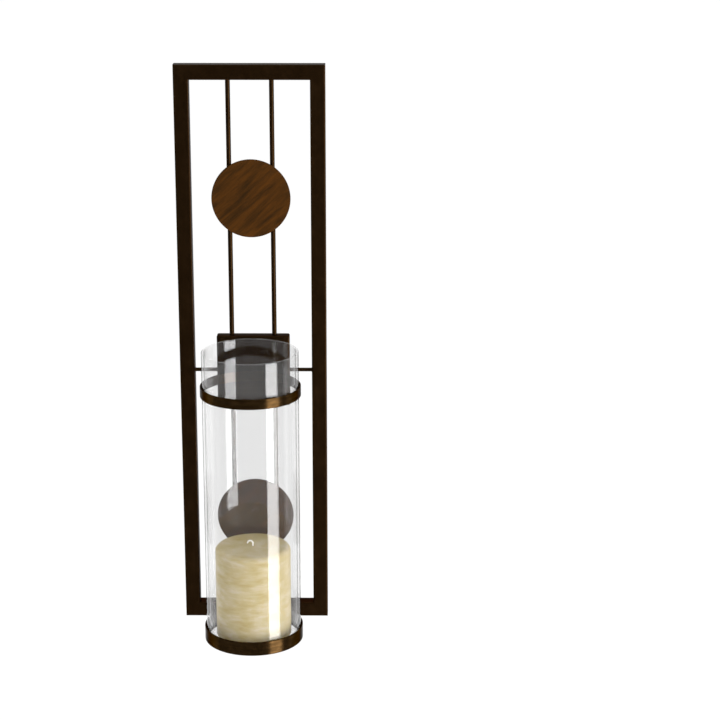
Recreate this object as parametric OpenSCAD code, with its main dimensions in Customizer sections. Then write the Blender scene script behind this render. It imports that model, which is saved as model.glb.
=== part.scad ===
// Wall sconce candle holder: a welded rectangular tube frame with two upright rods,
// two discs and a square plate, with a base ring and a collar that hold a tall glass
// cylinder, closed at the bottom, with a pillar candle in it.
//
// +Z is up, +Y points into the wall and -Y into the room. The origin is midway between
// the two keyholes, on the back face of the top rail, where the frame meets the wall.

/* [Frame] */
// Overall width of the frame
frame_w = 150; // [140:1:200]
// Overall height of the frame
frame_h = 584; // [520:1:700]
// Outside width and depth of the square tube
tube_w = 15; // [13:0.5:20]
// Wall thickness of the square tube
tube_wall = 1.2; // [1:0.1:2]
// Outside corner radius of the square tube
tube_corner_r = 1.2; // [0.6:0.1:1.8]

/* [Keyholes] */
// Distance between the two keyholes
keyhole_spacing = 101.6; // [80:0.1:105]
// Radius of the round opening that the screw head passes
keyhole_head_r = 4; // [3:0.1:4.2]
// Width of the slot that the screw shank slides up into
keyhole_slot_w = 4.4; // [3:0.1:4.6]
// Height of the slot's round end above the centre of the round opening
keyhole_rise = 4.6; // [3.5:0.1:4.8]

/* [Rods] */
// Diameter of the two upright rods
rod_d = 4.8; // [4:0.1:6]
// Distance between the centres of the upright rods
rod_spacing = 43.4; // [36:0.1:60]
// Diameter of the two short cross rods
cross_rod_d = 3.8; // [3:0.1:4.8]

/* [Discs] */
// Diameter of both discs
disc_d = 79.4; // [60:0.1:90]
// Thickness of both discs
disc_t = 2.2; // [1.5:0.1:3]
// Height of the upper disc's centre above the frame's bottom edge
upper_disc_h = 449.8; // [420:0.1:480]
// Height of the lower disc's centre above the frame's bottom edge
lower_disc_h = 112.7; // [100:0.1:150]

/* [Collar plate] */
// Width and height of the square plate
plate_w = 74.4; // [60:0.1:80]
// Depth of the folded edge round the plate
plate_depth = 10; // [8:0.5:12]
// Thickness of the plate's sheet
plate_t = 1.5; // [1:0.1:2]
// Height of the plate's centre above the frame's bottom edge
plate_h = 270.4; // [250:0.1:300]

/* [Glass] */
// Outside diameter of the glass cylinder
glass_d = 97.2; // [90:0.1:98]
// Wall thickness of the glass cylinder
glass_t = 2.5; // [2:0.1:4]
// Height of the glass cylinder
glass_h = 304.8; // [280:0.1:330]
// Thickness of the glass cylinder's base
glass_base_t = 3; // [2:0.1:6]
// Distance from the frame's front face to the glass cylinder's axis
glass_reach = 52; // [51.5:0.1:70]

/* [Collar and base ring] */
// Outside diameter of the collar and of the base ring
band_d = 101; // [100.8:0.1:102]
// Sheet thickness of the collar and of the base ring
band_t = 1.5; // [1:0.1:1.6]
// Height of the collar band
collar_h = 10.5; // [8:0.1:16]
// Height of the collar's centre above the frame's bottom edge
collar_mid_h = 266.4; // [255:0.1:285]
// Height of the base ring
base_ring_h = 14.5; // [10:0.1:15]
// Width of the ledge inside the base ring that the glass stands on
ledge_w = 2.5; // [2:0.1:4]

/* [Candle] */
// Diameter of the pillar candle
candle_d = 77; // [70:0.1:80]
// Height of the pillar candle
candle_h = 95.5; // [75:0.1:150]
// Radius of the candle's worn top edge
candle_top_r = 5; // [2:0.5:8]
// Diameter of the wick
wick_d = 1.6; // [1.2:0.1:2.4]
// Radius of the hook at the wick's tip
wick_hook_r = 2.7; // [2:0.1:4]

/* [Hidden] */
$fn = 96;

bronze = "#2a1c10";
brushed_bronze = "#4a3018";
disc_brown = "#55350f";
clear_glass = "#dfe6e8";
wax_ivory = "#e0d5aa";

cut = 1;                      // how far a cutting shape runs past the face that it cuts
weld_sink = 0.15;             // how far a welded piece melts into the rod it sits on
rod_hole_gap = 0.05;          // radial gap round an upright rod in the plate's edge

// Heights in the part's frame: the keyhole centres are at z = 0
keyhole_below_top = 9;        // from the frame's top edge down to the keyhole centres
top_z = keyhole_below_top;
bottom_z = top_z - frame_h;
rail_mid_z = bottom_z + tube_w / 2;
plate_z = bottom_z + plate_h;
collar_z = bottom_z + collar_mid_h;

// Depths in the part's frame: the back of the frame is at y = 0
front_y = -tube_w;
mid_y = -tube_w / 2;
axis_y = front_y - glass_reach;
disc_back_y = mid_y - rod_d / 2 + weld_sink;
plate_back_y = mid_y + plate_depth / 2;
plate_front_y = plate_back_y - plate_depth;

rod_x = rod_spacing / 2;
rod_z0 = bottom_z + tube_w;
rod_len = frame_h - 2 * tube_w;

disc_edge_r = 0.7;            // rounding of a disc's rim
plate_corner_r = 2;           // rounding of the plate's corners
band_edge_r = 0.5;            // rounding of the collar's and base ring's edges
glass_edge_r = 0.9;           // fire-polished rounding of the glass edges

base_ring_z = rail_mid_z - base_ring_h / 2;
glass_z = base_ring_z + band_t;
candle_z = glass_z + glass_base_t;

collar_bracket_w = 24;        // width of the block between the plate and the collar
collar_bracket_h = 8;         // height of that block
base_bracket_w = 36;          // width of the strip between the bottom rail and the base ring
base_bracket_h = 10;          // height of that strip

bumper_d = 10;                // diameter of a self-adhesive wall bumper
bumper_t = 1.5;               // how far a wall bumper stands off the back of the frame
bumper_dome_r = 0.6;          // rounding of a wall bumper's free edge

candle_base_r = 1.5;          // rounding of the candle's bottom edge
sustainer_d = 15;             // diameter of the tin disc that holds the wick's foot
sustainer_t = 0.8;            // thickness of that disc
neck_d = 4.4;                 // outside diameter of the disc's crimped neck
neck_h = 6;                   // height of the neck above the candle's base
wick_rise = 2.6;              // straight length of wick above the wax, below the hook

// A square of side w, centred, with corners of radius r made of true arcs
module rounded_square(w, r) {
    square([w - 2 * r, w], center = true);
    square([w, w - 2 * r], center = true);
    for (sx = [-1, 1], sy = [-1, 1])
        translate([sx * (w / 2 - r), sy * (w / 2 - r)])
            circle(r = r);
}

// A w by h rectangle from [x0, y0], with its corners rounded to radius r
module rounded_rect(x0, y0, w, h, r) {
    translate([x0 + r, y0]) square([w - 2 * r, h]);
    translate([x0, y0 + r]) square([w, h - 2 * r]);
    for (x = [x0 + r, x0 + w - r], y = [y0 + r, y0 + h - r])
        translate([x, y]) circle(r = r);
}

// The section of the square tube
module tube_section() {
    difference() {
        rounded_square(tube_w, tube_corner_r);
        square(tube_w - 2 * tube_wall, center = true);
    }
}

// A length of tube along X with both ends mitred at 45 degrees; its long side faces +Z
module mitred_tube(len) {
    intersection() {
        rotate([90, 0, 90])
            linear_extrude(height = len, center = true) tube_section();
        rotate([90, 0, 0])
            linear_extrude(height = tube_w + 2 * cut, center = true)
                polygon([[-len / 2, tube_w / 2], [len / 2, tube_w / 2],
                    [len / 2 - tube_w, -tube_w / 2], [-len / 2 + tube_w, -tube_w / 2]]);
    }
}

// A keyhole cut through the rail's back wall: a round opening with a slot above it
module keyhole_cut() {
    rotate([90, 0, 0]) {
        cylinder(r = keyhole_head_r, h = 2 * tube_wall + cut, center = true);
        translate([0, keyhole_rise / 2, 0])
            cube([keyhole_slot_w, keyhole_rise, 2 * tube_wall + cut], center = true);
        translate([0, keyhole_rise, 0])
            cylinder(d = keyhole_slot_w, h = 2 * tube_wall + cut, center = true);
    }
}

module top_rail() {
    color(bronze)
        difference() {
            translate([0, mid_y, top_z - tube_w / 2]) mitred_tube(frame_w);
            for (side = [-1, 1])
                translate([side * keyhole_spacing / 2, 0, 0]) keyhole_cut();
        }
}

module bottom_rail() {
    color(bronze)
        translate([0, mid_y, rail_mid_z])
            rotate([0, 180, 0]) mitred_tube(frame_w);
}

// One upright of the frame; side is -1 for the left and 1 for the right
module stile(side) {
    color(bronze)
        translate([side * (frame_w - tube_w) / 2, mid_y, top_z - frame_h / 2])
            rotate([0, side * 90, 0]) mitred_tube(frame_h);
}

module left_stile() {
    stile(-1);
}

module right_stile() {
    stile(1);
}

// One upright rod, from the bottom rail to the top rail
module upright_rod(side) {
    color(bronze)
        translate([side * rod_x, mid_y, rod_z0]) cylinder(d = rod_d, h = rod_len);
}

module left_rod() {
    upright_rod(-1);
}

module right_rod() {
    upright_rod(1);
}

// One short rod between a stile and the collar plate
module cross_rod(side) {
    gap = (frame_w - plate_w) / 2 - tube_w;
    color(bronze)
        translate([side * plate_w / 2, mid_y, plate_z])
            rotate([0, side * 90, 0]) cylinder(d = cross_rod_d, h = gap);
}

module left_cross_rod() {
    cross_rod(-1);
}

module right_cross_rod() {
    cross_rod(1);
}

// A thin disc facing the room, with a rounded rim, welded to the fronts of the rods
module disc(height) {
    color(disc_brown)
        translate([0, disc_back_y, bottom_z + height])
            rotate([90, 0, 0])
                rotate_extrude() {
                    square([disc_d / 2 - disc_edge_r, disc_t]);
                    translate([0, disc_edge_r])
                        square([disc_d / 2, disc_t - 2 * disc_edge_r]);
                    for (y = [disc_edge_r, disc_t - disc_edge_r])
                        translate([disc_d / 2 - disc_edge_r, y]) circle(r = disc_edge_r);
                }
}

module upper_disc() {
    disc(upper_disc_h);
}

module lower_disc() {
    disc(lower_disc_h);
}

// A square pan, open at the back, whose edges the upright rods pass through
module collar_plate() {
    pocket = plate_depth - plate_t;
    color(bronze)
        difference() {
            translate([0, plate_back_y, plate_z])
                rotate([90, 0, 0])
                    linear_extrude(height = plate_depth)
                        rounded_square(plate_w, plate_corner_r);
            translate([0, plate_back_y - (pocket - cut) / 2, plate_z])
                cube([plate_w - 2 * plate_t, pocket + cut, plate_w - 2 * plate_t], center = true);
            for (side = [-1, 1])
                translate([side * rod_x, mid_y, plate_z])
                    cylinder(r = rod_d / 2 + rod_hole_gap, h = plate_w + 2 * cut, center = true);
        }
}

// A block from back_y to the round band in front of it, hollowed to fit against the band
module band_bracket(w, h, z, back_y) {
    reach = back_y - axis_y;
    color(bronze)
        difference() {
            translate([-w / 2, axis_y + band_d / 4, z - h / 2])
                cube([w, reach - band_d / 4, h]);
            translate([0, axis_y, z]) cylinder(d = band_d, h = h + 2 * cut, center = true);
        }
}

module collar_bracket() {
    band_bracket(collar_bracket_w, collar_bracket_h, collar_z, plate_front_y);
}

module base_bracket() {
    band_bracket(base_bracket_w, base_bracket_h, rail_mid_z, front_y);
}

// The band round the glass cylinder, with its edges eased
module glass_collar() {
    color(brushed_bronze)
        translate([0, axis_y, collar_z - collar_h / 2])
            rotate_extrude()
                rounded_rect(band_d / 2 - band_t, 0, band_t, collar_h, band_edge_r);
}

// The band round the foot of the glass, with a ledge inside that the glass stands on
module base_ring() {
    color(brushed_bronze)
        translate([0, axis_y, base_ring_z])
            rotate_extrude() {
                rounded_rect(band_d / 2 - band_t, 0, band_t, base_ring_h, band_edge_r);
                translate([band_d / 2 - band_t - ledge_w, 0])
                    square([ledge_w + band_edge_r, band_t]);
                translate([band_d / 2 - band_t, 0])
                    square([band_t - band_edge_r, band_t]);
            }
}

// A domed self-adhesive bumper near a lower corner of the frame's back
module wall_bumper(side) {
    color("#3a3a38")
        translate([side * (frame_w - tube_w) / 2, 0, rail_mid_z])
            rotate([-90, 0, 0])
                rotate_extrude() {
                    square([bumper_d / 2, bumper_t - bumper_dome_r]);
                    square([bumper_d / 2 - bumper_dome_r, bumper_t]);
                    translate([bumper_d / 2 - bumper_dome_r, bumper_t - bumper_dome_r])
                        circle(r = bumper_dome_r);
                }
}

module left_wall_bumper() {
    wall_bumper(-1);
}

module right_wall_bumper() {
    wall_bumper(1);
}

// A glass cylinder, open at the top and closed at the bottom, standing on the ledge
module glass_cylinder() {
    color(clear_glass, 0.35)
        translate([0, axis_y, glass_z])
            rotate_extrude() {
                rounded_rect(glass_d / 2 - glass_t, 0, glass_t, glass_h, glass_edge_r);
                square([glass_d / 2 - glass_edge_r, glass_base_t]);
            }
}

// The wax, with the wick's channel through it and a recess for the wick's foot
module candle_wax() {
    color(wax_ivory)
        translate([0, axis_y, candle_z])
            difference() {
                rotate_extrude() {
                    square([candle_d / 2 - candle_top_r, candle_h]);
                    translate([0, candle_base_r])
                        square([candle_d / 2, candle_h - candle_base_r - candle_top_r]);
                    square([candle_d / 2 - candle_base_r, candle_h / 2]);
                    translate([candle_d / 2 - candle_base_r, candle_base_r])
                        circle(r = candle_base_r);
                    translate([candle_d / 2 - candle_top_r, candle_h - candle_top_r])
                        circle(r = candle_top_r);
                }
                translate([0, 0, -cut]) cylinder(d = wick_d, h = candle_h + 2 * cut);
                translate([0, 0, -cut]) cylinder(d = sustainer_d, h = sustainer_t + cut);
                translate([0, 0, -cut]) cylinder(d = neck_d, h = neck_h + cut);
            }
}

// The wick: straight through the wax, then hooked over towards -X
module candle_wick() {
    straight = candle_h + wick_rise - sustainer_t;
    color("#efe9d8")
        translate([0, axis_y, candle_z + sustainer_t]) {
            cylinder(d = wick_d, h = straight);
            translate([-wick_hook_r, 0, straight])
                rotate([90, 0, 0])
                    rotate_extrude(angle = 180)
                        translate([wick_hook_r, 0]) circle(d = wick_d);
        }
}

// The tin disc and crimped neck that hold the wick's foot
module wick_sustainer() {
    color("#b8b8b4")
        translate([0, axis_y, candle_z]) {
            cylinder(d = sustainer_d, h = sustainer_t);
            difference() {
                cylinder(d = neck_d, h = neck_h);
                translate([0, 0, sustainer_t]) cylinder(d = wick_d, h = neck_h);
            }
        }
}

top_rail();
bottom_rail();
left_stile();
right_stile();
left_rod();
right_rod();
left_cross_rod();
right_cross_rod();
upper_disc();
lower_disc();
collar_plate();
collar_bracket();
glass_collar();
base_bracket();
base_ring();
left_wall_bumper();
right_wall_bumper();
glass_cylinder();
candle_wax();
candle_wick();
wick_sustainer();
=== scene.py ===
"""Wall sconce candle holder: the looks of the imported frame, its glass, candle and metalwork."""
from math import cos, pi, radians, sin

import bpy
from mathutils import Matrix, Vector


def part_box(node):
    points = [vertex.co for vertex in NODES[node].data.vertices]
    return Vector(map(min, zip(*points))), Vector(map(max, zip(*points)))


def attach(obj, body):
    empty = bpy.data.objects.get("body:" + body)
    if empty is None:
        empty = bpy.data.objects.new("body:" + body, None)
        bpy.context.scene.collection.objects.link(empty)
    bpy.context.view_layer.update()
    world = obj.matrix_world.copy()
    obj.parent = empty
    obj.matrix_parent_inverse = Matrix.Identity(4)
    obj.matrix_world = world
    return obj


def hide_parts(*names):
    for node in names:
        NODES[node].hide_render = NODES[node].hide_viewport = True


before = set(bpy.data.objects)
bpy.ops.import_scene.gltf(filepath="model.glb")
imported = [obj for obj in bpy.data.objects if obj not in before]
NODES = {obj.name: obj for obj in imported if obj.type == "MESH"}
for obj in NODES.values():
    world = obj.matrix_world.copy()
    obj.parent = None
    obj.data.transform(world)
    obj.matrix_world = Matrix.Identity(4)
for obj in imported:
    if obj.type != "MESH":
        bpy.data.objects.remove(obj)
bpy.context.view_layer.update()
MM = 0.001

# ---------------------------------------------------------------- places, from the frame

GLASS_LO, GLASS_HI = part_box("glass_cylinder")
AXIS_X = (GLASS_LO.x + GLASS_HI.x) / 2
AXIS_Y = (GLASS_LO.y + GLASS_HI.y) / 2
GLASS_R = (GLASS_HI.x - GLASS_LO.x) / 2
GLASS_WALL = 2.5 * MM
GLASS_BASE = 3 * MM
BAND_WALL = 1.5 * MM     # thickness of the collar, the base ring and its ledge
BAND_EDGE_R = 0.5 * MM   # rounding of their edges
LEDGE = 2.5 * MM         # how far the base ring turns in under the glass


# ---------------------------------------------------------------- modelling helpers

def pick(piece, kind, test):
    """Selects the faces, edges or vertices of a piece whose middle (and normal) passes a test."""
    mesh = piece.data
    for group in (mesh.vertices, mesh.edges, mesh.polygons):
        for item in group:
            item.select = False
    points = [v.co for v in mesh.vertices]
    if kind == "FACE":
        for face in mesh.polygons:
            face.select = test(face.center, face.normal)
    elif kind == "EDGE":
        for edge in mesh.edges:
            edge.select = test(points[edge.vertices[0]], points[edge.vertices[1]])
    else:
        for vertex in mesh.vertices:
            vertex.select = test(vertex.co)
    modes = [kind == mode for mode in ("VERT", "EDGE", "FACE")]
    bpy.context.tool_settings.mesh_select_mode = modes
    bpy.ops.object.mode_set(mode="EDIT")


def leave_edit():
    """Goes back to object mode, which also brings the mesh up to date."""
    bpy.ops.object.mode_set(mode="OBJECT")


def settle(piece, name):
    """Names a new primitive and puts its place, turn and size into its mesh."""
    piece.name = name
    piece.data.name = name
    bpy.ops.object.transform_apply(location=True, rotation=True, scale=True)
    return piece


def cube(name, low, high):
    bpy.ops.object.select_all(action="DESELECT")
    middle = [(a + b) / 2 for a, b in zip(low, high)]
    bpy.ops.mesh.primitive_cube_add(size=1, location=middle)
    piece = bpy.context.object
    piece.scale = [b - a for a, b in zip(low, high)]
    return settle(piece, name)


def cylinder(name, radius, depth, middle, turn=(0, 0, 0), sides=48):
    bpy.ops.object.select_all(action="DESELECT")
    bpy.ops.mesh.primitive_cylinder_add(
        vertices=sides, radius=radius, depth=depth, location=middle, rotation=turn)
    return settle(bpy.context.object, name)


def section(name, inner, outer, low, high):
    """A flat upright rectangle beside the glass's axis, from one radius and height to another."""
    bpy.ops.object.select_all(action="DESELECT")
    middle = (AXIS_X + (inner + outer) / 2, AXIS_Y, (low + high) / 2)
    bpy.ops.mesh.primitive_plane_add(size=1, location=middle, rotation=(pi / 2, 0, 0))
    piece = bpy.context.object
    piece.scale = (outer - inner, high - low, 1)
    return settle(piece, name)


def round_corners(piece, radius, test, segments=4):
    """Rounds the corners of a flat section that pass a test."""
    pick(piece, "VERT", test)
    bpy.ops.mesh.bevel(offset=radius, segments=segments, affect="VERTICES")
    leave_edit()


def near(a, b):
    return abs(a - b) < 0.02 * MM


def lathe(piece, steps=192, levels=(), radii=()):
    """Spins the outline of a flat section round the glass's axis into a closed body. Points
    added beside its rounded corners, at some levels and radii, hold its walls straight."""
    pick(piece, "FACE", lambda middle, normal: True)
    bpy.ops.mesh.delete(type="ONLY_FACE")
    for level in levels:
        bpy.ops.mesh.select_all(action="SELECT")
        bpy.ops.mesh.bisect(plane_co=(0, 0, level), plane_no=(0, 0, 1))
    for radius in radii:
        bpy.ops.mesh.select_all(action="SELECT")
        bpy.ops.mesh.bisect(plane_co=(AXIS_X + radius, 0, 0), plane_no=(1, 0, 0))
    bpy.ops.mesh.select_all(action="SELECT")
    bpy.ops.mesh.spin(steps=steps, angle=2 * pi, center=(AXIS_X, AXIS_Y, 0), axis=(0, 0, 1))
    bpy.ops.mesh.select_all(action="SELECT")
    bpy.ops.mesh.remove_doubles(threshold=0.002 * MM)
    bpy.ops.mesh.dissolve_degenerate(threshold=0.002 * MM)
    bpy.ops.mesh.select_all(action="SELECT")
    bpy.ops.mesh.normals_make_consistent(inside=False)
    leave_edit()


def smooth(piece, angle=35):
    bpy.ops.object.select_all(action="DESELECT")
    piece.select_set(True)
    bpy.context.view_layer.objects.active = piece
    bpy.ops.object.shade_smooth_by_angle(angle=radians(angle))


def apply_modifier(piece, kind, **settings):
    bpy.ops.object.select_all(action="DESELECT")
    piece.select_set(True)
    bpy.context.view_layer.objects.active = piece
    modifier = piece.modifiers.new(kind.title(), kind)
    for name, value in settings.items():
        setattr(modifier, name, value)
    bpy.ops.object.modifier_apply(modifier=modifier.name)


def finish_piece(piece, material, slot, body, *stands_for):
    """Gives a finished piece its material and body, and hides the CAD nodes that it stands for. Its
    slot is not used.
    """
    piece.data.materials.clear()
    piece.data.materials.append(material)
    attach(piece, body)
    if stands_for:
        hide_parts(*stands_for)


# ---------------------------------------------------------------- material helpers

def srgb(code):
    """A hex colour as linear red, green and blue, and full alpha."""
    parts = [int(code[i:i + 2], 16) / 255 for i in (1, 3, 5)]
    linear = [c / 12.92 if c <= 0.04045 else ((c + 0.055) / 1.055) ** 2.4 for c in parts]
    return (*linear, 1.0)


def add(tree, kind, inputs=None, **settings):
    """Adds a node, sets its properties, and links or sets its inputs by name or number."""
    made = tree.nodes.new(kind)
    for name, value in settings.items():
        setattr(made, name, value)
    for socket, value in (inputs or {}).items():
        if isinstance(value, bpy.types.NodeSocket):
            tree.links.new(value, made.inputs[socket])
        else:
            made.inputs[socket].default_value = value
    return made


def new_material(name):
    """A material with a Principled shader, and the piece's own coordinates in metres."""
    material = bpy.data.materials.new(name)
    material.use_nodes = True
    tree = material.node_tree
    shader = tree.nodes["Principled BSDF"]
    place = add(tree, "ShaderNodeTexCoord").outputs["Object"]
    return material, tree, shader, place


def stretched(tree, place, size_mm, turn=(0, 0, 0)):
    """Coordinates in which one unit is size_mm along each axis, turned about the origin."""
    scale = [1 / (s * MM) for s in size_mm]
    turned = add(tree, "ShaderNodeMapping", {0: place, "Rotation": turn})
    return add(tree, "ShaderNodeVectorMath", {0: turned.outputs[0], 1: scale},
               operation="MULTIPLY").outputs[0]


def ramp(tree, factor, *stops):
    """A colour ramp; each stop is a position and a colour."""
    made = add(tree, "ShaderNodeValToRGB", {0: factor})
    elements = made.color_ramp.elements
    while len(elements) < len(stops):
        elements.new(0.5)
    for element, (position, colour) in zip(elements, stops):
        element.position = position
        element.color = colour
    return made.outputs[0]


def spread(tree, factor, low, high):
    """Maps 0 to 1 onto low to high."""
    return add(tree, "ShaderNodeMapRange",
               {0: factor, "To Min": low, "To Max": high}).outputs[0]


# ---------------------------------------------------------------- materials

DARK_EDGE = srgb("#adadad")      # keeps dark bronze dark where it is seen edge on


def oil_rubbed_bronze():
    """Dark oil-rubbed bronze finish: satin brown-black, with a fine orange-peel skin and
    faint cloudy wear."""
    material, tree, shader, place = new_material("oil_rubbed_bronze")
    cloud = add(tree, "ShaderNodeTexNoise",
                {0: stretched(tree, place, (14, 14, 22)), "Scale": 1, "Detail": 5, "Roughness": 0.62})
    tree.links.new(ramp(tree, cloud.outputs[0],
                        (0.32, srgb("#291b0d")), (0.55, srgb("#2e1f10")), (0.72, srgb("#342414"))),
                   shader.inputs["Base Color"])
    peel = add(tree, "ShaderNodeTexNoise",
               {0: stretched(tree, place, (0.9, 0.9, 0.9)), "Scale": 1, "Detail": 2})
    tree.links.new(spread(tree, cloud.outputs[0], 0.30, 0.42), shader.inputs["Roughness"])
    bump = add(tree, "ShaderNodeBump",
               {"Height": peel.outputs[0], "Strength": 0.12, "Distance": 0.08 * MM})
    tree.links.new(bump.outputs[0], shader.inputs["Normal"])
    shader.inputs["Metallic"].default_value = 1.0
    shader.inputs["Specular Tint"].default_value = DARK_EDGE
    return material


def brushed_bronze():
    """Sheet bronze brushed round its circumference: fine level lines with a streaky shine."""
    material, tree, shader, place = new_material("brushed_sheet_bronze")
    lines = add(tree, "ShaderNodeTexNoise",
                {0: stretched(tree, place, (26, 26, 0.34)), "Scale": 1, "Detail": 4, "Roughness": 0.7})
    patch = add(tree, "ShaderNodeTexNoise",
                {0: stretched(tree, place, (9, 9, 3)), "Scale": 1, "Detail": 4, "Roughness": 0.6})
    both = add(tree, "ShaderNodeMix", {0: 0.42, "A": lines.outputs[0], "B": patch.outputs[0]})
    tree.links.new(ramp(tree, both.outputs[0],
                        (0.34, srgb("#23180b")), (0.50, srgb("#342513")), (0.66, srgb("#513c23"))),
                   shader.inputs["Base Color"])
    tree.links.new(spread(tree, lines.outputs[0], 0.13, 0.25), shader.inputs["Roughness"])
    bump = add(tree, "ShaderNodeBump",
               {"Height": lines.outputs[0], "Strength": 0.12, "Distance": 0.05 * MM})
    tree.links.new(bump.outputs[0], shader.inputs["Normal"])
    shader.inputs["Metallic"].default_value = 1.0
    shader.inputs["Specular Tint"].default_value = DARK_EDGE
    return material


def mottled_disc_bronze():
    """Bronze-toned lacquer over a slantwise brushed disc: warm brown with darker slanting
    streaks, like figured timber."""
    material, tree, shader, place = new_material("mottled_lacquered_bronze")
    slant = (0, radians(42), 0)
    grain = add(tree, "ShaderNodeTexNoise",
                {0: stretched(tree, place, (36, 20, 5.5), slant), "Scale": 1, "Detail": 6,
                 "Roughness": 0.6, "Distortion": 0.5})
    fine = add(tree, "ShaderNodeTexNoise",
               {0: stretched(tree, place, (16, 8, 1.1), slant), "Scale": 1, "Detail": 4,
                "Roughness": 0.7})
    both = add(tree, "ShaderNodeMix", {0: 0.38, "A": grain.outputs[0], "B": fine.outputs[0]})
    tree.links.new(ramp(tree, both.outputs[0],
                        (0.36, srgb("#2b1903")), (0.50, srgb("#3c2204")), (0.64, srgb("#4b2a05"))),
                   shader.inputs["Base Color"])
    tree.links.new(spread(tree, fine.outputs[0], 0.38, 0.52), shader.inputs["Roughness"])
    bump = add(tree, "ShaderNodeBump",
               {"Height": both.outputs[0], "Strength": 0.2, "Distance": 0.06 * MM})
    tree.links.new(bump.outputs[0], shader.inputs["Normal"])
    shader.inputs["IOR"].default_value = 1.15
    return material


def clear_glass():
    """Thin clear glass: each face lets most light straight through, mirrors a little of the
    room, more at a glancing angle, and carries a trace of dust haze."""
    clarity = 0.956      # share of the light that one face lets through
    head_on = 0.045      # share that it mirrors when seen square on
    haze = 0.003
    material, tree, shader, place = new_material("thin_clear_glass")
    tree.nodes.remove(shader)
    through = add(tree, "ShaderNodeBsdfTransparent", {"Color": (clarity, clarity, clarity, 1)})
    breath = add(tree, "ShaderNodeTexNoise",
                 {0: stretched(tree, place, (40, 40, 160)), "Scale": 1, "Detail": 1})
    mirror = add(tree, "ShaderNodeBsdfGlossy",
                 {"Color": (1, 1, 1, 1), "Roughness": spread(tree, breath.outputs[0], 0.0, 0.004)})
    film = add(tree, "ShaderNodeBsdfDiffuse", {"Color": srgb("#e6e6e4")})
    facing = add(tree, "ShaderNodeLayerWeight", {"Blend": 0.5}).outputs["Facing"]
    glancing = add(tree, "ShaderNodeMath", {0: facing, 1: 5.0}, operation="POWER")
    shine = spread(tree, glancing.outputs[0], head_on, 1.0)
    hazed = add(tree, "ShaderNodeMixShader", {0: haze, 1: through.outputs[0], 2: film.outputs[0]})
    skin = add(tree, "ShaderNodeMixShader", {0: shine, 1: hazed.outputs[0], 2: mirror.outputs[0]})
    tree.links.new(skin.outputs[0], tree.nodes["Material Output"].inputs["Surface"])
    return material


def ivory_wax():
    """Cast paraffin and palm wax: soft ivory with level yellow crystal streaks, and light
    that soaks a few millimetres in."""
    material, tree, shader, place = new_material("ivory_pillar_wax")
    cloud = add(tree, "ShaderNodeTexNoise",
                {0: stretched(tree, place, (26, 26, 11)), "Scale": 1, "Detail": 5, "Roughness": 0.55,
                 "Distortion": 0.3})
    flake = add(tree, "ShaderNodeTexNoise",
                {0: stretched(tree, place, (15, 15, 3.0)), "Scale": 1, "Detail": 4, "Roughness": 0.55,
                 "Distortion": 0.2})
    both = add(tree, "ShaderNodeMix", {0: 0.34, "A": cloud.outputs[0], "B": flake.outputs[0]})
    tree.links.new(ramp(tree, both.outputs[0],
                        (0.34, srgb("#b49f5e")), (0.50, srgb("#c2b285")), (0.66, srgb("#cfc3a7"))),
                   shader.inputs["Base Color"])
    tree.links.new(spread(tree, flake.outputs[0], 0.36, 0.55), shader.inputs["Roughness"])
    bump = add(tree, "ShaderNodeBump",
               {"Height": flake.outputs[0], "Strength": 0.12, "Distance": 0.2 * MM})
    tree.links.new(bump.outputs[0], shader.inputs["Normal"])
    shader.inputs["IOR"].default_value = 1.44
    shader.inputs["Subsurface Weight"].default_value = 0.35
    shader.inputs["Subsurface Radius"].default_value = (1.0, 0.75, 0.4)
    shader.inputs["Subsurface Scale"].default_value = 4 * MM
    return material


def wick_cotton():
    """Braided bleached cotton with a thin wax prime: bright off-white with a fibrous skin."""
    material, tree, shader, place = new_material("primed_cotton_wick")
    fibre = add(tree, "ShaderNodeTexNoise",
                {0: stretched(tree, place, (0.25, 0.25, 1.1)), "Scale": 1, "Detail": 4})
    tree.links.new(ramp(tree, fibre.outputs[0],
                        (0.3, srgb("#fbf8ee")), (0.7, srgb("#ffffff"))),
                   shader.inputs["Base Color"])
    tree.links.new(spread(tree, fibre.outputs[0], 0.6, 0.85), shader.inputs["Roughness"])
    bump = add(tree, "ShaderNodeBump",
               {"Height": fibre.outputs[0], "Strength": 0.4, "Distance": 0.1 * MM})
    tree.links.new(bump.outputs[0], shader.inputs["Normal"])
    return material


def pressed_tin():
    """Thin tinplate stamping: dull silver with rolling marks."""
    material, tree, shader, place = new_material("pressed_tinplate")
    marks = add(tree, "ShaderNodeTexNoise",
                {0: stretched(tree, place, (0.3, 5, 5)), "Scale": 1, "Detail": 4})
    tree.links.new(ramp(tree, marks.outputs[0],
                        (0.35, srgb("#a9a9a4")), (0.65, srgb("#cfcfca"))),
                   shader.inputs["Base Color"])
    tree.links.new(spread(tree, marks.outputs[0], 0.28, 0.42), shader.inputs["Roughness"])
    shader.inputs["Metallic"].default_value = 1.0
    return material


def bumper_rubber():
    """Moulded polyurethane bumper: soft dark grey with a fine matt grain."""
    material, tree, shader, place = new_material("moulded_bumper_rubber")
    grain = add(tree, "ShaderNodeTexNoise",
                {0: stretched(tree, place, (0.35, 0.35, 0.35)), "Scale": 1, "Detail": 3})
    tree.links.new(ramp(tree, grain.outputs[0],
                        (0.35, srgb("#2c2c2a")), (0.65, srgb("#3c3c39"))),
                   shader.inputs["Base Color"])
    tree.links.new(spread(tree, grain.outputs[0], 0.62, 0.8), shader.inputs["Roughness"])
    bump = add(tree, "ShaderNodeBump",
               {"Height": grain.outputs[0], "Strength": 0.2, "Distance": 0.05 * MM})
    tree.links.new(bump.outputs[0], shader.inputs["Normal"])
    return material


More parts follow.
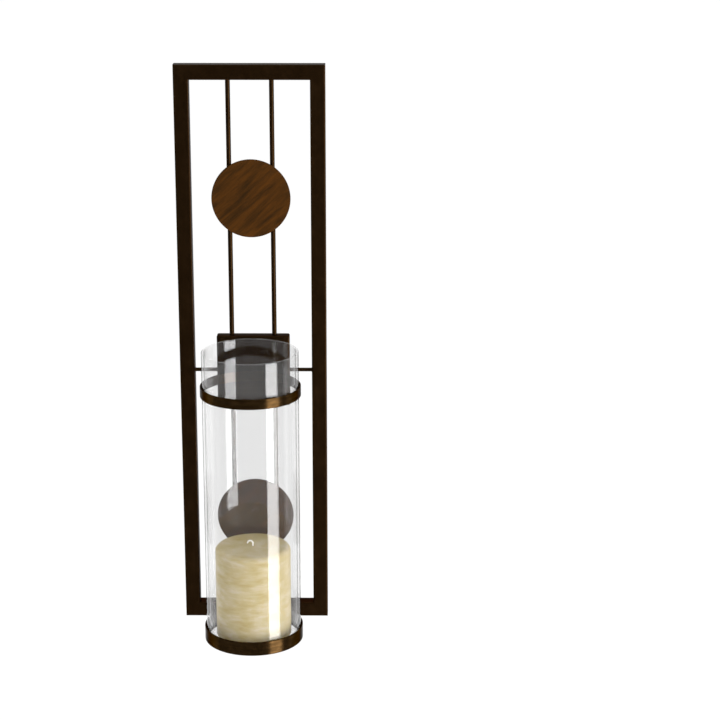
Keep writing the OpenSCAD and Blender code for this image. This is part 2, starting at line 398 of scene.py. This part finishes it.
BRONZE = oil_rubbed_bronze()
BRUSHED = brushed_bronze()
DISC_BRONZE = mottled_disc_bronze()
GLASS = clear_glass()
WAX = ivory_wax()
COTTON = wick_cotton()
TIN = pressed_tin()
RUBBER = bumper_rubber()


# ---------------------------------------------------------------- frame, rods and plate

def dress_cad_nodes():
    """The tube frame, brackets, bumpers and wick foot keep their CAD shapes."""
    dressed = {
        "top_rail": BRONZE, "bottom_rail": BRONZE, "left_stile": BRONZE, "right_stile": BRONZE,
        "collar_bracket": BRONZE, "base_bracket": BRONZE,
        "left_wall_bumper": RUBBER, "right_wall_bumper": RUBBER, "wick_sustainer": TIN,
    }
    for node, material in dressed.items():
        mesh = NODES[node].data
        mesh.materials.clear()
        mesh.materials.append(material)


WELD_LEG = 0.7 * MM      # how far a fillet weld climbs a rod from its end
WELD_FLARE = 1.32        # how much wider than the rod a weld is at its foot
HOLD = 0.3 * MM          # how far a holding loop lies from a rounded edge
DISC_RIM_R = 0.7 * MM
PLATE_SHEET = 1.5 * MM
PLATE_FOLD_R = 1.8 * MM


def welded_rod(node, axis):
    """A round rod with a small fillet weld at each end, lying along one axis."""
    low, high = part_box(node)
    middle = (low + high) / 2
    size = high - low
    length = size[axis]
    radius = min(size) / 2
    turn = (0, pi / 2, 0) if axis == 0 else (0, 0, 0)
    name = node + "_piece"
    rod = cylinder(name, radius, length, middle, turn)
    direction = Vector((0, 0, 0))
    direction[axis] = 1
    for end in (-1, 1):
        foot = middle + direction * end * (length / 2)
        pick(rod, "FACE", lambda centre, normal: True)
        for inset in (WELD_LEG, WELD_LEG + HOLD):
            bpy.ops.mesh.select_all(action="SELECT")
            bpy.ops.mesh.bisect(plane_co=foot - direction * end * inset, plane_no=direction)
        leave_edit()
    for end in (-1, 1):
        foot = middle + direction * end * (length / 2)
        pick(rod, "VERT", lambda co: near(co[axis], foot[axis]))
        flare = [1.0 if i == axis else WELD_FLARE for i in range(3)]
        bpy.ops.transform.resize(value=flare, center_override=foot)
        leave_edit()
    smooth(rod, 50)
    finish_piece(rod, BRONZE, "bronze_paint", "root", node)


def hold_flats(piece):
    """Insets a piece's square-on faces, so that they stay flat beside their rounded edges."""
    pick(piece, "FACE", lambda centre, normal: max(abs(part) for part in normal) > 0.9999)
    bpy.ops.mesh.inset(thickness=HOLD, use_individual=True)
    leave_edit()


def rimmed_disc(node):
    """A thin sheet disc with a rolled rim."""
    low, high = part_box(node)
    middle = (low + high) / 2
    radius = (high.x - low.x) / 2
    depth = high.y - low.y
    disc = cylinder(node + "_piece", radius, depth, middle, (pi / 2, 0, 0), sides=128)
    pick(disc, "EDGE", lambda a, b: near(a.y, b.y))
    bpy.ops.mesh.bevel(offset=DISC_RIM_R, segments=4, affect="EDGES")
    leave_edit()
    hold_flats(disc)
    smooth(disc, 50)
    finish_piece(disc, DISC_BRONZE, "disc_bronze", "root", node)


def weld_beads():
    """Short weld beads behind each disc, above and below its middle on each side of both rods."""
    bead_length = 9 * MM
    bead_radius = 0.9 * MM
    from_middle = 18 * MM
    beside = 0.62        # how far across its rod a bead lies, as a share of the rod's radius
    stand_off = 0.35     # how far behind the disc, as a share of the bead's own radius
    beads = []
    rods = [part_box("left_rod"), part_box("right_rod")]
    for disc in ("upper_disc", "lower_disc"):
        low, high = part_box(disc)
        for rod_low, rod_high in rods:
            rod_x = (rod_low.x + rod_high.x) / 2
            rod_r = (rod_high.x - rod_low.x) / 2
            for side in (-1, 1):
                for lift in (-1, 1):
                    spot = (rod_x + side * rod_r * beside, high.y + bead_radius * stand_off,
                            (low.z + high.z) / 2 + lift * from_middle)
                    bpy.ops.object.select_all(action="DESELECT")
                    bpy.ops.mesh.primitive_uv_sphere_add(
                        segments=16, ring_count=12, radius=bead_radius, location=spot)
                    bead = bpy.context.object
                    bead.scale.z = bead_length / (2 * bead_radius)
                    beads.append(settle(bead, "disc_weld_beads"))
    bpy.ops.object.select_all(action="DESELECT")
    for bead in beads:
        bead.select_set(True)
    bpy.context.view_layer.objects.active = beads[0]
    bpy.ops.object.join()
    smooth(beads[0], 60)
    finish_piece(beads[0], BRONZE, "bronze_paint", "root")


def folded_plate():
    """The square pan behind the collar, folded from sheet and open at the back."""
    low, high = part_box("collar_plate")
    plate = cube("collar_plate_piece", low, high)
    pick(plate, "FACE", lambda centre, normal: normal.y > 0.9)
    bpy.ops.mesh.delete(type="FACE")
    leave_edit()

    def folded(a, b):
        return not (near(a.y, high.y) and near(b.y, high.y))

    pick(plate, "EDGE", folded)
    bpy.ops.mesh.bevel(offset=PLATE_FOLD_R, segments=5, affect="EDGES")
    leave_edit()
    hold_flats(plate)
    apply_modifier(plate, "SOLIDIFY", thickness=PLATE_SHEET, offset=-1)
    smooth(plate, 40)
    finish_piece(plate, BRONZE, "bronze_paint", "root", "collar_plate")


# ---------------------------------------------------------------- collar, base ring and glass

def collar_band():
    """The plain band round the glass."""
    low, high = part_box("glass_collar")
    outer = (high.x - low.x) / 2
    band = section("glass_collar_piece", outer - BAND_WALL, outer, low.z, high.z)
    round_corners(band, BAND_EDGE_R, lambda co: True)
    lathe(band, levels=(low.z + BAND_EDGE_R + HOLD, high.z - BAND_EDGE_R - HOLD))
    smooth(band, 40)
    finish_piece(band, BRUSHED, "brushed_bronze", "root", "glass_collar")


def base_band():
    """The base ring: a band with a ledge turned in at its foot."""
    low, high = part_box("base_ring")
    outer = (high.x - low.x) / 2
    inner = outer - BAND_WALL
    ring = section("base_ring_piece", inner, outer, low.z, high.z)
    pick(ring, "FACE", lambda centre, normal: True)
    bpy.ops.mesh.bisect(plane_co=(0, 0, low.z + BAND_WALL), plane_no=(0, 0, 1))
    leave_edit()

    def ledge_root(a, b):
        at_wall = near(a.x, AXIS_X + inner) and near(b.x, AXIS_X + inner)
        return at_wall and max(a.z, b.z) < low.z + BAND_WALL + 0.1 * MM

    pick(ring, "EDGE", ledge_root)
    bpy.ops.mesh.extrude_region_move(TRANSFORM_OT_translate={"value": (-LEDGE, 0, 0)})
    leave_edit()
    merge_flats(ring)
    round_corners(ring, BAND_EDGE_R,
                  lambda co: near(co.z, high.z) or near(co.x, AXIS_X + outer))
    lathe(ring, levels=(low.z + BAND_EDGE_R + HOLD, high.z - BAND_EDGE_R - HOLD,
                        low.z + BAND_WALL + HOLD))
    smooth(ring, 40)
    finish_piece(ring, BRUSHED, "brushed_bronze", "root", "base_ring")


GLASS_RIM_R = 0.9 * MM    # fire-polished rounding of the glass's mouth
GLASS_FOOT_R = 1.4 * MM   # rounding under its foot
GLASS_WELL_R = 1.2 * MM   # rounding inside, between wall and base


def glass_vessel():
    """The glass cylinder: an even wall with a fire-polished mouth and a flat base."""
    low, high = GLASS_LO.z, GLASS_HI.z
    inner = GLASS_R - GLASS_WALL
    glass = section("glass_cylinder_piece", inner, GLASS_R, low, high)
    pick(glass, "FACE", lambda centre, normal: True)
    bpy.ops.mesh.bisect(plane_co=(0, 0, low + GLASS_BASE), plane_no=(0, 0, 1))
    leave_edit()

    def base_root(a, b):
        at_wall = near(a.x, AXIS_X + inner) and near(b.x, AXIS_X + inner)
        return at_wall and max(a.z, b.z) < low + GLASS_BASE + 0.1 * MM

    pick(glass, "EDGE", base_root)
    bpy.ops.mesh.extrude_region_move(TRANSFORM_OT_translate={"value": (-inner, 0, 0)})
    leave_edit()
    merge_flats(glass)
    round_corners(glass, GLASS_RIM_R, lambda co: near(co.z, high), segments=5)
    round_corners(glass, GLASS_FOOT_R,
                  lambda co: near(co.x, AXIS_X + GLASS_R) and near(co.z, low), segments=5)
    round_corners(glass, GLASS_WELL_R,
                  lambda co: near(co.x, AXIS_X + inner) and near(co.z, low + GLASS_BASE), segments=5)
    cut_axis_edge(glass)
    lathe(glass, steps=256,
          levels=(high - GLASS_RIM_R - HOLD, low + GLASS_FOOT_R + HOLD,
                  low + GLASS_BASE + GLASS_WELL_R + HOLD),
          radii=(inner - GLASS_WELL_R - HOLD, GLASS_R - GLASS_FOOT_R - HOLD))
    smooth(glass, 40)
    finish_piece(glass, GLASS, "clear_glass", "glass", "glass_cylinder")


def merge_flats(piece):
    """Joins the level faces of a section into one, without points along its straight edges."""
    pick(piece, "EDGE", lambda a, b: True)
    bpy.ops.mesh.dissolve_limited(angle_limit=radians(1))
    leave_edit()


def cut_axis_edge(piece):
    """Leaves only a section's outline, open along the spin axis, so that the spun body is
    closed there."""
    pick(piece, "FACE", lambda centre, normal: True)
    bpy.ops.mesh.delete(type="ONLY_FACE")
    leave_edit()
    pick(piece, "EDGE", lambda a, b: near(a.x, AXIS_X) and near(b.x, AXIS_X))
    bpy.ops.mesh.delete(type="EDGE")
    leave_edit()


# ---------------------------------------------------------------- candle and wick

CANDLE_TOP_R = 5 * MM      # rounding of the candle's top edge
CANDLE_BASE_R = 1.5 * MM   # rounding of its bottom edge
WICK_FOOT_T = 0.8 * MM     # thickness of the tin disc under the candle
WICK_NECK_R = 2.2 * MM     # radius of the tin neck that stands on it
FOOT_GAP = 0.1 * MM        # room round the wick's foot in its recess


def foot_recess(wax, base, foot_r, neck_top):
    """Cuts the recess for the wick's foot and neck out of the wax's flat section."""
    foot_x = AXIS_X + foot_r + FOOT_GAP
    neck_x = AXIS_X + WICK_NECK_R + FOOT_GAP
    foot_z = base + WICK_FOOT_T + FOOT_GAP
    neck_z = neck_top + FOOT_GAP
    for cut_x, cut_z in ((foot_x, foot_z), (neck_x, neck_z)):
        pick(wax, "FACE", lambda centre, normal: True)
        bpy.ops.mesh.bisect(plane_co=(cut_x, 0, 0), plane_no=(1, 0, 0))
        leave_edit()
        pick(wax, "FACE", lambda centre, normal: centre.x < cut_x)
        bpy.ops.mesh.bisect(plane_co=(0, 0, cut_z), plane_no=(0, 0, 1))
        leave_edit()

    def in_recess(centre, normal):
        beside_foot = centre.x < foot_x and centre.z < foot_z
        beside_neck = centre.x < neck_x and centre.z < neck_z
        return beside_foot or beside_neck

    pick(wax, "FACE", in_recess)
    bpy.ops.mesh.delete(type="FACE")
    leave_edit()


def wax_pillar():
    """The wax: a softly rounded, slightly uneven pillar with a recess for the wick's foot."""
    low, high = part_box("candle_wax")
    foot_low, foot_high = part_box("wick_sustainer")
    radius = (high.x - low.x) / 2
    side_low = low.z + 2 * CANDLE_BASE_R
    side_high = high.z - 1.4 * CANDLE_TOP_R
    rings = 22
    wax = section("candle_wax_piece", 0, radius, low.z, high.z)
    foot_recess(wax, low.z, (foot_high.x - foot_low.x) / 2, foot_high.z)
    merge_flats(wax)
    round_corners(wax, CANDLE_TOP_R,
                  lambda co: near(co.x, AXIS_X + radius) and near(co.z, high.z), segments=8)
    round_corners(wax, CANDLE_BASE_R,
                  lambda co: near(co.x, AXIS_X + radius) and near(co.z, low.z))
    cut_axis_edge(wax)
    lathe(wax, steps=160,
          levels=[side_low + (side_high - side_low) * ring / rings for ring in range(rings + 1)],
          radii=(0.4 * radius, 0.65 * radius))

    def uneven(co):
        outside = Vector((co.x - AXIS_X, co.y - AXIS_Y)).length > 0.9 * radius
        return co.z > side_high or (outside and co.z > side_low - 0.1 * MM)

    skin = [vertex.index for vertex in wax.data.vertices if uneven(vertex.co)]
    wax.vertex_groups.new(name="uneven_skin").add(skin, 1.0, "REPLACE")
    apply_modifier(wax, "DISPLACE", texture=wax_texture(), strength=0.6 * MM, mid_level=0.62,
                   texture_coords="LOCAL", vertex_group="uneven_skin")
    smooth(wax, 50)
    finish_piece(wax, WAX, "wax", "candle", "candle_wax")


def wax_texture():
    """Slow unevenness of the cast wax."""
    texture = bpy.data.textures.new("wax_unevenness", "CLOUDS")
    texture.noise_scale = 30 * MM
    texture.noise_depth = 2
    return texture


def braided_wick():
    """Three cotton strands twisted together, rising from the wax and hooked over."""
    wax_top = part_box("candle_wax")[1].z
    strand_r = 0.48 * MM
    twist_r = 0.40 * MM
    hook_r = 2.7 * MM
    rise = 2.6 * MM
    buried = 3 * MM
    pitch = 5 * MM
    straight = buried + rise
    total = straight + pi * hook_r
    steps = 72
    strands = []
    for strand in range(3):
        curve = bpy.data.curves.new("wick_strand", "CURVE")
        curve.dimensions = "3D"
        curve.bevel_depth = strand_r
        curve.bevel_resolution = 3
        curve.use_fill_caps = True
        spline = curve.splines.new("POLY")
        spline.points.add(steps)
        for i in range(steps + 1):
            along = total * i / steps
            if along < straight:
                centre = Vector((AXIS_X, AXIS_Y, wax_top - buried + along))
                outward = Vector((1, 0, 0))
            else:
                angle = (along - straight) / hook_r
                outward = Vector((cos(angle), 0, sin(angle)))
                centre = Vector((AXIS_X - hook_r, AXIS_Y, wax_top + rise)) + outward * hook_r
            phase = 2 * pi * (along / pitch + strand / 3)
            offset = outward * cos(phase) + Vector((0, 1, 0)) * sin(phase)
            spline.points[i].co = (*(centre + offset * twist_r), 1)
        piece = bpy.data.objects.new("wick_strand", curve)
        bpy.context.scene.collection.objects.link(piece)
        strands.append(piece)
    bpy.ops.object.select_all(action="DESELECT")
    for piece in strands:
        piece.select_set(True)
    bpy.context.view_layer.objects.active = strands[0]
    bpy.ops.object.convert(target="MESH")
    bpy.ops.object.join()
    wick = bpy.context.object
    wick.name = "candle_wick_piece"
    pick(wick, "VERT", lambda co: True)
    bpy.ops.mesh.remove_doubles(threshold=0.002 * MM)
    bpy.ops.mesh.select_all(action="SELECT")
    bpy.ops.mesh.normals_make_consistent(inside=False)
    leave_edit()
    smooth(wick, 70)
    finish_piece(wick, COTTON, "wick_cotton", "candle", "candle_wick")


# ---------------------------------------------------------------- studio

def pale_floor():
    """A wide pale floor, well below the wall-hung object."""
    bpy.ops.object.select_all(action="DESELECT")
    bpy.ops.mesh.primitive_plane_add(size=60, location=(0, 0, -1.5))
    floor = bpy.context.object
    floor.name = "studio_floor"
    material, tree, shader, place = new_material("pale_floor_paint")
    shader.inputs["Base Color"].default_value = srgb("#fbfbfb")
    shader.inputs["Roughness"].default_value = 0.9
    shader.inputs["Specular IOR Level"].default_value = 0.1
    floor.data.materials.append(material)


def dark_flags():
    """A curved dark cloth round the front of the object, which the camera doesn't see, so that
    the metal facing the room stays dark."""
    bpy.ops.object.select_all(action="DESELECT")
    bpy.ops.mesh.primitive_cylinder_add(
        vertices=96, radius=1.35, depth=3.2, end_fill_type="NOTHING",
        location=(AXIS_X, AXIS_Y, -0.3))
    flag = bpy.context.object
    flag.name = "dark_flags"
    pick(flag, "FACE", lambda centre, normal: centre.y > 0.02)
    bpy.ops.mesh.delete(type="FACE")
    leave_edit()
    material, tree, shader, place = new_material("dark_grey_felt")
    shader.inputs["Base Color"].default_value = (0.38, 0.38, 0.38, 1)
    shader.inputs["Specular IOR Level"].default_value = 0.0
    flag.data.materials.append(material)
    flag.visible_camera = False
    flag.visible_transmission = False
    flag.visible_shadow = False
    flag.visible_diffuse = False


def area_light(name, azimuth, distance, height, width, tall, radiance):
    """An area light facing the object's axis, azimuth measured from the front to the right."""
    light = bpy.data.lights.new(name, "AREA")
    light.shape = "RECTANGLE"
    light.size = width
    light.size_y = tall
    light.energy = radiance * pi * width * tall
    lamp = bpy.data.objects.new(name, light)
    lamp.location = (AXIS_X + distance * sin(azimuth), AXIS_Y - distance * cos(azimuth), height)
    lamp.rotation_euler = (pi / 2, 0, azimuth)
    lamp.visible_camera = False
    bpy.context.scene.collection.objects.link(lamp)
    return lamp


def lights():
    """A tall strip at the front right for the gleam on metal and glass, and a soft key beside
    it that only lights matt surfaces."""
    strip = area_light("strip_softbox", azimuth=radians(55), distance=1.2, height=-0.61,
                       width=0.62, tall=1.72, radiance=7)
    strip.visible_diffuse = False
    key = area_light("soft_key", azimuth=radians(48), distance=1.25, height=-0.5,
                     width=0.8, tall=0.9, radiance=6)
    key.visible_glossy = False


def white_surround():
    """An even white room, a touch brighter than paper white."""
    world = bpy.data.worlds.new("white_surround")
    world.use_nodes = True
    background = world.node_tree.nodes["Background"]
    background.inputs["Color"].default_value = (1, 1, 1, 1)
    background.inputs["Strength"].default_value = 1.05
    bpy.context.scene.world = world
    bpy.context.scene.view_settings.view_transform = "Standard"


def camera():
    """A long lens from above the object and a little to its right, looking down at it."""
    look_down = radians(16.13)
    turn_left = radians(0.36)
    data = bpy.data.cameras.new("camera")
    data.sensor_width = 36
    data.lens = 100.86
    data.clip_end = 100
    eye = bpy.data.objects.new("camera", data)
    eye.location = (0.1217, -1.9955, 0.2806)
    eye.rotation_euler = (pi / 2 - look_down, 0, turn_left)
    bpy.context.scene.collection.objects.link(eye)
    bpy.context.scene.camera = eye


# ---------------------------------------------------------------- building

camera()
dress_cad_nodes()
for rod_node in ("left_rod", "right_rod"):
    welded_rod(rod_node, 2)
for rod_node in ("left_cross_rod", "right_cross_rod"):
    welded_rod(rod_node, 0)
for disc_node in ("upper_disc", "lower_disc"):
    rimmed_disc(disc_node)
weld_beads()
folded_plate()
collar_band()
base_band()
glass_vessel()
wax_pillar()
braided_wick()
pale_floor()
dark_flags()
lights()
white_surround()
